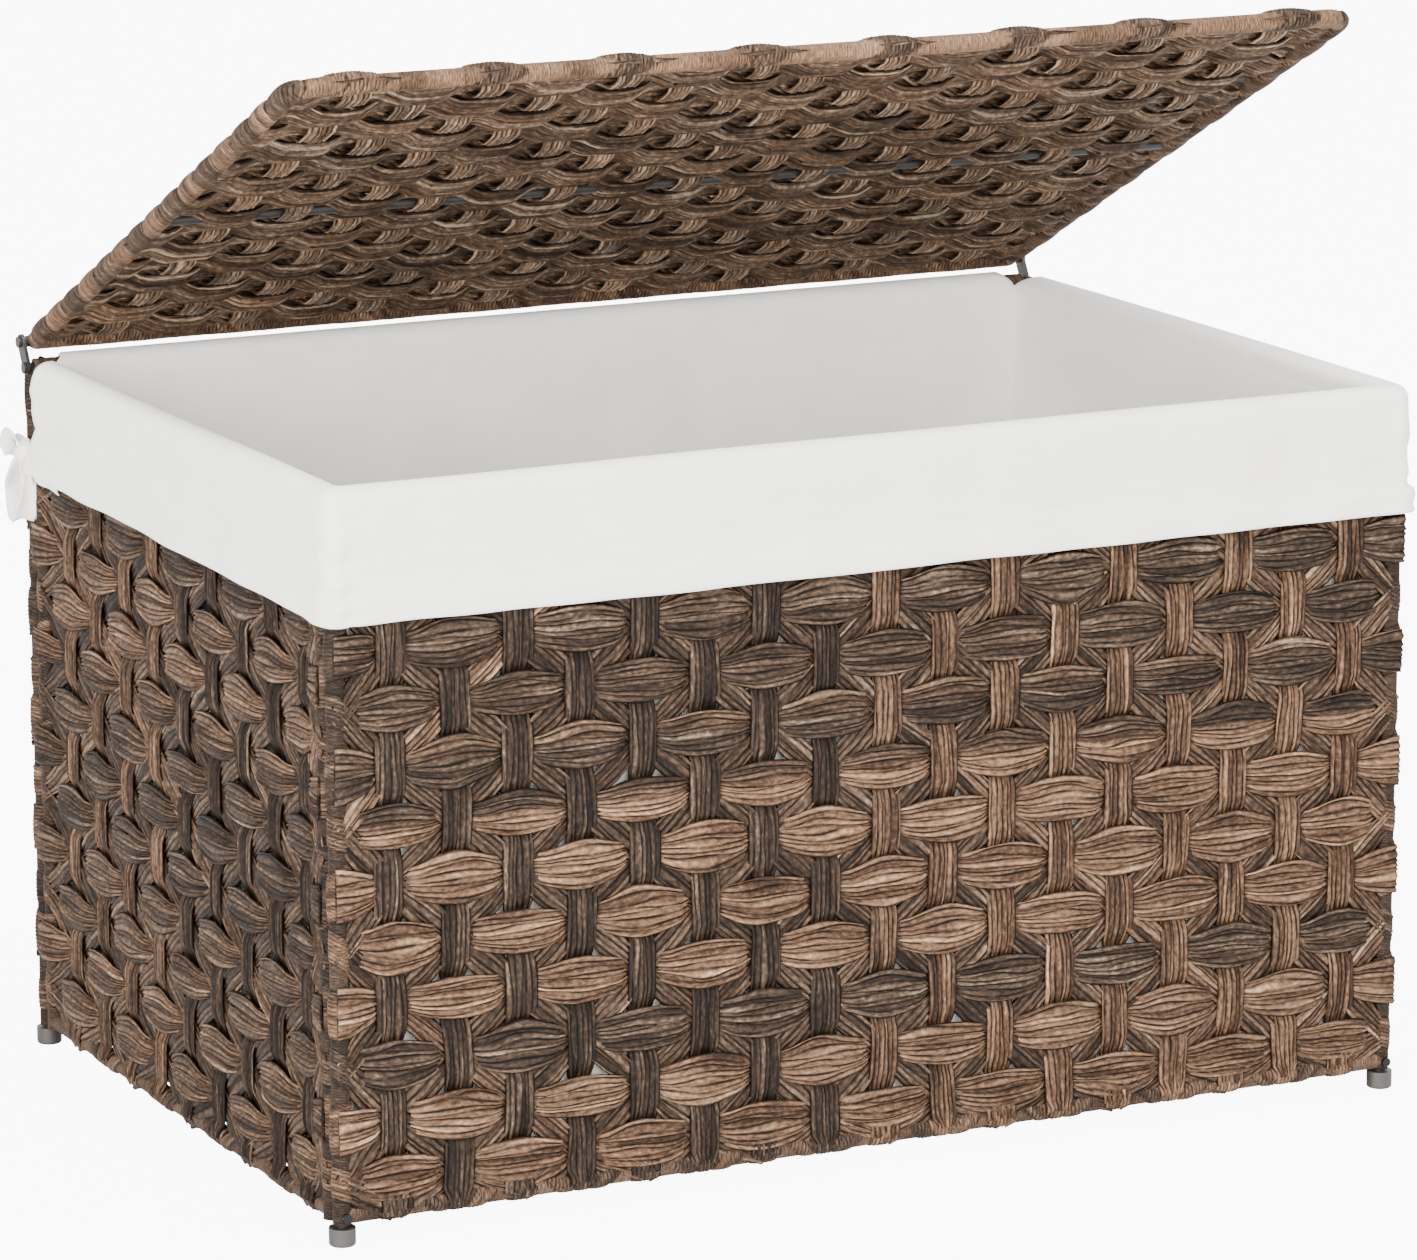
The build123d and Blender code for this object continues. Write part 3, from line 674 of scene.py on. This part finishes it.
# Bands along the front, at their distances from its middle, each with its tone.
FRONT_BANDS = ((-277.0, 0.1), (-182.0, 0.15), (-103.0, 0.2), (-24.0, 0.15),
               (55.0, 0.3), (135.0, 0.1), (213.0, 0.2), (292.0, 0.8))
for a, tone in FRONT_BANDS:
    bands.append((LID_SIDE + LID_CORNER * math.pi / 2 + a + LID_HALF - LID_CORNER, 11.0, -12.0, 2.3, tone))
rods = [wound_rod("lid", (0, 0), (0, 0), WOUND, bands, 1400, tone=0.9, bend=(lid_bend, total))]
bands = [(a + LID_HALF + 20 * (i % 2), 16.0, 8.0, 1.3, 0.55 + 0.2 * (-1) ** i) for i, a in enumerate(LID_COLS)]
rods.append(wound_rod("lid", (-LID_HALF, 0), (LID_HALF, 0), WOUND, bands, 1401, tone=0.5))
made = woven("lid_wound_rods", rods, "lid")
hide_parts("lid_binding")

# ---- base ----
BASE_COLS = np.linspace(-270, 270, 13)
BASE_ROWS = np.linspace(-170, 170, 9)
level, upright, slant = weave("base", BASE_COLS, BASE_ROWS, (-BASE_HALF_X, BASE_HALF_X), (-BASE_HALF_Y, BASE_HALF_Y),
                              (lambda k, a: 0.45, lambda i, a, b: 0.4, face_slant_tone), 1700, fill=24.0)
made = woven("base_level_ribbons", level + slant)
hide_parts("base_weave")
woven("base_upright_ribbons", upright)


def base_bend(x):
    """Point and side direction along the base frame's closed rod, a rounded rectangle."""
    r = BASE_CORNER
    w, h, arc = 2 * (BASE_HALF_X - r), 2 * (BASE_HALF_Y - r), r * math.pi / 2
    marks = np.cumsum([0, w, arc, h, arc, w, arc, h, arc])
    turn = sum(np.clip((x - marks[i]) / arc, 0, 1) for i in (1, 3, 5, 7)) * math.pi / 2
    step = np.diff(x, prepend=x[:1])
    middle = turn - np.diff(turn, prepend=turn[:1]) / 2
    a = -BASE_HALF_X + r + np.cumsum(step * np.cos(middle))
    b = -BASE_HALF_Y + np.cumsum(step * np.sin(middle))
    return np.stack([a, b], -1), np.stack([-np.sin(turn), np.cos(turn)], -1)


total = 4 * (BASE_HALF_X + BASE_HALF_Y - 2 * BASE_CORNER) + 2 * BASE_CORNER * math.pi
bands = [(x, 8.0, 3.0, 0.5, 0.4) for x in np.arange(20, total, 42.0)]
rod = wound_rod("base", (0, 0), (0, 0), WOUND_BASE, bands, 1801, step=1.6, around=12, bend=(base_bend, total))
made = woven("base_wound_rods", [rod])
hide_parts("base_binding")


# ---- cotton liner ----
def cloth_piece(name, middle, thick, closed=False):
    """A sheet as a closed mesh: a (station, row, 3) grid in millimetres, thickened both ways.

    The normal at each point is square to the grid's two directions; the section at each
    station runs down one face and back up the other. A closed sheet is a ring along its
    rows: there the stations run from edge to edge, and the ring is the way round."""
    u = np.gradient(middle, axis=0)
    v = np.roll(middle, -1, 1) - np.roll(middle, 1, 1) if closed else np.gradient(middle, axis=1)
    normal = np.cross(u, v)
    normal /= np.linalg.norm(normal, axis=-1, keepdims=True) + 1e-12
    thick = np.broadcast_to(thick, middle.shape[:2])[..., None] / 2
    one, two = middle + normal * thick, middle - normal * thick
    along = np.cumsum(np.linalg.norm(np.diff(middle, axis=0, prepend=middle[:1]), axis=-1).mean(1))
    across = np.cumsum(np.linalg.norm(np.diff(middle, axis=1, prepend=middle[:, :1]), axis=-1).mean(0))
    if closed:
        points = np.concatenate([one, two[::-1]])
        along = np.concatenate([along, along[::-1]])[:, None] + 0 * across[None]
        across = across[None] + 0 * along
    else:
        points = np.concatenate([one, two[:, ::-1]], 1)
        across = np.concatenate([across, across[::-1]])[None] + 0 * along[:, None]
        along = along[:, None] + 0 * across
    zero = np.zeros(points.shape[:2])[None]
    made = mesh_piece(name, [(points[None] * MM, zero, zero, zero, along[None] * MM, across[None] * MM)],
                      COTTON, "basket", strip_caps=not closed)
    return made


def waves(x, y, seed, count=10, short=45.0, long=160.0):
    """Random soft creases: a sum of sine waves of mixed length and direction, about -1 to 1."""
    r = np.random.default_rng(seed)
    total = 0
    for _ in range(count):
        length, way = r.uniform(short, long), r.uniform(0, math.pi)
        total = total + np.sin((x * math.cos(way) + y * math.sin(way)) * 2 * math.pi / length + r.uniform(0, ANY_PHASE))
    return total / math.sqrt(count)


def corner_ring(n, rho, parts=9, side=60, front=90):
    """Closed ring round the body at distance n outside the panel planes, corners of radius rho.

    Starts at the back left corner, runs left side, front, right side, back. Returns x and
    y, each (row, point)."""
    n, rho = n[:, None], rho[:, None]
    cx, cy = SIDE_MID + n - rho, FACE_MID + n - rho
    t = np.linspace(0, 1, side)[None, :-1]
    f = np.linspace(0, 1, front)[None, :-1]
    q = np.linspace(0, math.pi / 2, parts)[None, :-1]
    xs, ys = [], []
    for sx, sy, turn in ((-1, 1, 0), (-1, -1, 1), (1, -1, 2), (1, 1, 3)):
        angle = math.pi / 2 + turn * math.pi / 2 + q
        xs.append(sx * cx + rho * np.cos(angle))
        ys.append(sy * cy + rho * np.sin(angle))
        if turn % 2 == 0:
            xs.append(sx * (cx + rho) + 0 * t)
            ys.append(sy * cy * (1 - 2 * t))
        else:
            xs.append(sx * cx * (1 - 2 * f))
            ys.append(sy * (cy + rho) + 0 * f)
    return np.concatenate(xs, 1), np.concatenate(ys, 1)


# Bag: floor rings from the middle outwards, a turned-up edge, then the rings of the walls.
BAG_WALL, BAG_FLOOR, BAG_TOP, BAG_EDGE = -6.9, 30.4, 402, 9
FLOOR_RINGS, WALL_RINGS = 24, 44
turned = np.linspace(0.2, 1.5, 6)
n = np.concatenate([np.linspace(-205, -18, FLOOR_RINGS), BAG_WALL - BAG_EDGE * (1 - np.sin(turned)),
                    np.full(WALL_RINGS, BAG_WALL)])
z = np.concatenate([np.full(FLOOR_RINGS, BAG_FLOOR), BAG_FLOOR + BAG_EDGE * (1 - np.cos(turned)),
                    np.linspace(42, BAG_TOP, WALL_RINGS)])
x, y = corner_ring(n, 1.2 + 3.5 * (n > -200))
z = z[:, None] + 0 * x
loose = smooth((z - 60) / 120) * smooth((BAG_TOP - z) / 60)
on_side = np.abs(np.abs(x) - SIDE_MID) < np.abs(np.abs(y) - FACE_MID)
run = np.where(on_side, y, x)
from_corner = np.where(on_side, FACE_MID - np.abs(y), SIDE_MID - np.abs(x))
crease = (waves(run, z * 0.6, 71) * 0.9 + waves(run * 1.6, z * 0.25, 72) * 0.7) * smooth(from_corner / 40)
push = np.clip(1.2 + crease, 0, 4.5) * loose
x = np.where(on_side, x - np.sign(x) * push, x)
y = np.where(on_side, y, y - np.sign(y) * push)
z = z + np.where(z < BAG_FLOOR + 0.6, 0.35 * waves(x, y, 73), 0)
bag = cloth_piece("liner_bag_cloth", np.stack([x, y, z], -1), 1.2,
                  closed=True)
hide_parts("liner_bag")


# The cloth's half turn over the wound rim rod goes this far out and this far up.
TURN_OUT, TURN_UP = 7.4, 6.9
HEM = CUFF_BOTTOM + 4


def fold_profile():
    """Section of the cloth folded over the rim: distance outside the panel plane, height, thickness.

    Up the inside, a half turn round the wound rod, then down the outside, drawn in a
    little at half height and standing out over its doubled hem."""
    half = np.linspace(math.pi, 0, 13)
    down = np.linspace(TOP_ROD, HEM, 34)[1:]
    sag = 0.5 * np.sin((down - CUFF_BOTTOM) / (TOP_ROD - CUFF_BOTTOM) * math.pi)
    hem = 0.7 * smooth((CUFF_BOTTOM + 17 - down) / 1.5)
    n = np.concatenate([[-7.15, -7.25, -7.35], TURN_OUT * np.cos(half), 7.6 - sag + hem])
    z = np.concatenate([[389.0, 393.5, 398.0], TOP_ROD + TURN_UP * np.sin(half), down])
    thick = np.concatenate([[0.25, 0.35, 0.6], np.full(13, 1.1), 1.1 + 0.9 * (hem > 0.35)])
    return n, z, thick


# Cuff: the section carried round three sides, left, front and right.
n, z, thick = fold_profile()
rho = 1.4 + (n + TURN_OUT) * 0.5
# Stations along each side, along the front, and round each front corner.
ALONG_SIDE, ALONG_FRONT, ROUND_CORNER = 110, 190, 10
side_t = np.linspace(0, 1, ALONG_SIDE)[:, None]
front_t = np.linspace(-1, 1, ALONG_FRONT)[:, None]
q = np.linspace(0, math.pi / 2, ROUND_CORNER + 2)[1:-1, None]
# Rows past the top of the turn, rows that hang free, and the share of the way over the rod.
row = np.arange(len(z))
outside, hanging, over = row > 9, row > 12, np.clip(row - 2, 0, 7) / 7.0
drop = smooth((TOP_ROD - z) / (TOP_ROD - CUFF_BOTTOM)) * hanging
# Its back end starts in the corner, steps forward over the rod, and swings back to the tie.
swing = np.interp(-z, [-410, -398, -390, -377, -368, -361, -354, -347, -340],
                  [189, 198, 202, 197.5, 195.5, 202, 208, 206, 203])
back_y = np.where(outside, swing, 206.0 - 17.0 * smooth(over))
cx, cy = SIDE_MID + n - rho, FACE_MID + n - rho
left_y = back_y + (-cy - back_y) * side_t
left = np.stack([-(SIDE_MID + n) + 0 * left_y, left_y, z + 0 * left_y], -1)
bend = np.stack([-cx - rho * np.cos(q), -cy - rho * np.sin(q), z + 0 * q], -1)
across_front = np.stack([cx * front_t, -(FACE_MID + n) + 0 * front_t, z + 0 * front_t], -1)
mirror = np.array([-1.0, 1.0, 1.0])
sheet = np.concatenate([left, bend, across_front, bend[::-1] * mirror, left[::-1] * mirror])
out = np.concatenate([np.array([-1.0, 0.0]) + 0 * side_t, np.concatenate([-np.cos(q), -np.sin(q)], 1),
                      np.array([0.0, -1.0]) + 0 * front_t, np.concatenate([np.cos(q), -np.sin(q)], 1)[::-1],
                      np.array([1.0, 0.0]) + 0 * side_t])
# Distance along the cuff, measured on its outside.
line = sheet[:, 20, :2]
run = np.cumsum(np.linalg.norm(np.diff(line, axis=0, prepend=line[:1]), axis=-1))[:, None]
free = smooth((TOP_ROD + 2 - z) / 40) * hanging
ease = waves(run, z * 1.3, 81, short=60) + waves(run, z * 3, 82, short=25, long=60) * 0.45
# It flares out again over the hem, and bulges a little just below the rim.
ease = ease + 3.0 * smooth((CUFF_BOTTOM + 30 - z) / 26) + 1.6 * np.exp(-((z - 393.0) / 9.0) ** 2)
# Each front corner's seam is puckered: its place along the cuff and how deep the puckers are.
seams = ((run[ALONG_SIDE + 5, 0], 2.8), (run[ALONG_SIDE + ROUND_CORNER + ALONG_FRONT + 3, 0], 0.8))
for spot, deep in seams:
    near = np.exp(-((run - spot - 4.0) / 6.0) ** 2)
    ease = ease + near * (deep * np.sin(z / 2.6 + 1.3 * np.sin(z / 8.0)) + 1.0)
    ease = ease - deep * np.exp(-((run - spot - 8.5) / 1.5) ** 2)
# Folds fan out from the ties, and die away forwards.
reach = np.hypot(sheet[..., 1] - 212.0, z - 356.0)
ease = ease + 2.2 * np.exp(-reach / 48.0) * np.sin(8.0 * np.arctan2(z - 352.0, 216.0 - sheet[..., 1]) + 0.8)
move = np.clip(ease, -0.9, 4.2) * free
# The upper bolt heads press the cloth out near both front corners.
bolt = np.exp(-((np.abs(sheet[..., 0]) - SIDE_MID) ** 2 + (z - 386.5) ** 2) / 42.0)
sheet[..., 1] -= 2.2 * (bolt * (sheet[..., 1] < -FACE_MID) * outside)
sheet[..., :2] += out[:, None, :] * move[..., None]
# The hem hangs a little higher along the sides than along the front.
hem_z = np.interp(np.minimum(run, run[-1] - run), [0, 60, 200, 400, 420], [343.5, 343.3, 342.4, 339.5, 337.7])
raised = TOP_ROD - (TOP_ROD - sheet[..., 2]) * (TOP_ROD - hem_z) / (TOP_ROD - HEM)
sheet[..., 2] = np.where(outside & (z < TOP_ROD), raised, sheet[..., 2])
sheet[..., 2] += 0.5 * waves(run, 0 * z, 83, short=120, long=420) * smooth((360 - z) / 25)
sheet[..., 2] += 0.35 * waves(run, 0 * z, 84, short=90, long=300) * (np.abs(n) < 7.3)
cuff = cloth_piece("liner_cuff_cloth", sheet, thick)
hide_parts("liner_cuff")

# Back flap: the same section, a little narrower over the rod and at the hem.
share = np.linspace(-1, 1, 170)[:, None]
edge_x = 316.0 - 9.0 * smooth(over) - 5.0 * drop
flap = np.stack([-edge_x * share, (FACE_MID + n) + 0 * share, z + 0 * share], -1)
run = 310 * share
flap[..., 1] += np.clip(waves(run, z * 1.3, 91, short=60) * 0.45, -0.5, 2) * free
flap[..., 2] += 0.9 * waves(run, 0 * z, 93, short=120, long=420) * smooth((360 - z) / 25)
flap_piece = cloth_piece("liner_back_flap_cloth", flap, thick)
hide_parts("liner_back_flap")


def tape(path, wide, width, seed):
    """Grid of a cloth tape: a path smoothed twice, swept with a cupped and curled cross line.

    The cross line is square to the path and as near as it can be to the wide direction."""
    path, wide = np.asarray(path, float), np.asarray(wide, float)
    t = np.linspace(0, 1, len(path))
    stations = 48
    fine = np.linspace(0, 1, stations)
    for _ in range(2):
        path = np.stack([np.interp(fine, t, path[:, i]) for i in range(3)], -1)
        kernel = np.array([1, 4, 6, 4, 1]) / 16
        padded_path = np.concatenate([np.repeat(path[:1], 2, 0), path, np.repeat(path[-1:], 2, 0)])
        path = np.stack([np.convolve(padded_path[:, i], kernel, "valid") for i in range(3)], -1)
        t = fine
    way = np.gradient(path, axis=0)
    way /= np.linalg.norm(way, axis=1, keepdims=True)
    wide = wide[None] - way * (way @ wide)[:, None]
    wide /= np.linalg.norm(wide, axis=1, keepdims=True)
    up = np.cross(way, wide)
    s = np.linspace(-1, 1, 9)[None, :, None]
    size = width / 2 * (1 + 0.16 * wander(1, stations, 8, 1.0, seed)[0])[:, None, None]
    bent = wander(1, stations, 9, 1.0, seed + 1)[0][:, None, None]
    cup = 0.16 * width * s ** 2 * (0.6 + bent) + 0.7 * bent * s
    return path[:, None] + wide[:, None] * s * size + up[:, None] * cup


# Tapes of a tie: points as (distance outside the side panel's plane, y, z), the direction
# in which the tape is wide, outward first, and how wide it is.
TAPES = {
    "strap": ([(8.8, 158, 341.5), (9.2, 185, 343.5), (9.4, 197, 349), (8, 206, 355)], (0, 0, 1), 8.0),
    "upper_loop": ([(8, 209, 357), (10, 218, 361), (11, 227, 362), (11, 232, 357), (9, 229, 350),
                    (8, 220, 350), (8, 211, 355)], (1, 0.5, 0.3), 9.0),
    "hanging_loop": ([(8, 209, 354), (9, 217, 345), (10, 224, 331), (10, 222, 318), (9, 214, 314),
                      (8, 207, 322), (8, 204, 337), (8, 208, 352)], (1, 0.6, 0), 10.0),
    "short_end": ([(9, 207, 354), (11, 201, 347), (10, 198, 338)], (0, 1, 0.3), 7.0),
}


def bow(name, side, node):
    """A tie at a back corner: strap from the cuff's hem, knot, two loops and a short end."""
    first = None
    for label, (points, wide, width) in TAPES.items():
        path = [(side * (SIDE_MID + out_by), y, z) for out_by, y, z in points]
        grid = tape(path, (side * wide[0], wide[1], wide[2]), width, len(label))
        made = cloth_piece(name + "_" + label, grid, 1.0)
        first = first or made
    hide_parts(node)
    # Knot: an ellipsoid made lumpy by sine waves, like two turns of tape.
    t, p = np.meshgrid(np.linspace(0.12, math.pi - 0.12, 26), np.linspace(0, 2 * math.pi, 28, endpoint=False),
                       indexing="ij")
    ball = 1 + 0.10 * np.sin(3 * t + p) + 0.06 * np.sin(9 * t + 2 * np.sin(p))
    knot = np.stack([side * (SIDE_MID + 8.0) + 5.5 * np.sin(t) * np.cos(p) * ball,
                     210 + 7.0 * np.sin(t) * np.sin(p) * ball, 355 + 7.0 * np.cos(t) * ball], -1)
    zero = np.zeros(t.shape)[None]
    batch = (knot[::-1][None] * MM, zero, zero, zero, (t * 7 * MM)[None], (p * 7 * MM)[None])
    piece = mesh_piece(name + "_knot", [batch], COTTON, "basket")


bow("left_tie", -1, "tie_left")
bow("right_tie", 1, "tie_right")

# ---- floor, light and camera ----
floor_mesh = bpy.data.meshes.new("studio_floor")
# A square of paper, 6 m each way from the middle.
floor_mesh.from_pydata([(-6, -6, 0), (6, -6, 0), (6, 6, 0), (-6, 6, 0)], [], [(0, 1, 2, 3)])
floor = bpy.data.objects.new("studio_floor", floor_mesh)
bpy.context.scene.collection.objects.link(floor)
m, tree, shader = new_material("pale studio paper")
grain = add(tree, "TexNoise", Vector=add(tree, "TexCoord", out="Object"), Scale=300.0)
connect(tree, shader, Base_Color=ramp(tree, grain, [(0.3, "F4F4F4"), (0.7, "F8F8F8")]), Roughness=0.9)
# Lit like the backdrop where the camera sees it, so that only soft contact shadow shows.
glow = add(tree, "Emission", Strength=13.0)
path = add(tree, "LightPath", out="Is Camera Ray")
share = add(tree, "Math", {"operation": "MULTIPLY"}, i0=path, i1=0.75)
both = add(tree, "MixShader", i0=share, i1=shader.outputs[0], i2=glow)
connect(tree, tree.nodes["Material Output"], Surface=both)
floor_mesh.materials.append(m)

world = bpy.data.worlds.new("studio")
bpy.context.scene.world = world
world.use_nodes = True
sky = world.node_tree
# The backdrop is lit brighter than the basket, as a white studio sweep is.
seen = add(sky, "LightPath", out="Is Camera Ray")
strength = add(sky, "MapRange", i0=seen, i3=1.75, i4=16.0)
connect(sky, sky.nodes["Background"], Color=(1, 1, 1, 1), Strength=strength)


def soft_light(name, at, power):
    """A square area light, 1.6 m across, that points at the middle of the basket."""
    lamp = bpy.data.lights.new(name, "AREA")
    lamp.size, lamp.energy = 1.6, power
    made = bpy.data.objects.new(name, lamp)
    made.location = at
    direction = np.array((0, 0, 0.2), float) - np.array(at, float)
    made.rotation_euler = (math.atan2(math.hypot(direction[0], direction[1]), -direction[2]), 0,
                           math.atan2(direction[0], -direction[1]) + math.pi)
    bpy.context.scene.collection.objects.link(made)


soft_light("front_softbox", (-0.9, -3.2, 1.1), 84)
soft_light("left_softbox", (-2.8, -1.7, 1.0), 135)
soft_light("overhead_softbox", (0.3, -0.9, 2.6), 80)

# The camera's azimuth and elevation, and its distance from the point that it looks at,
# which lies a little right of and above the middle of the body.
az, el = math.radians(-26.763), math.radians(12.709)
distance, aside, above, middle = 3.7623, 0.00115, 0.05185, 0.205
back_dir = np.array([math.sin(az) * math.cos(el), -math.cos(az) * math.cos(el), math.sin(el)])
right_dir = np.array([math.cos(az), math.sin(az), 0.0])
up_dir = np.cross(back_dir, right_dir)
camera = bpy.data.objects.new("camera", bpy.data.cameras.new("camera"))
camera.data.lens, camera.data.sensor_width = 166.68, 36.0
camera.location = back_dir * distance + right_dir * aside + up_dir * above + np.array([0, 0, middle])
camera.rotation_euler = (math.pi / 2 - el, 0, az)
bpy.context.scene.collection.objects.link(camera)
bpy.context.scene.camera = camera
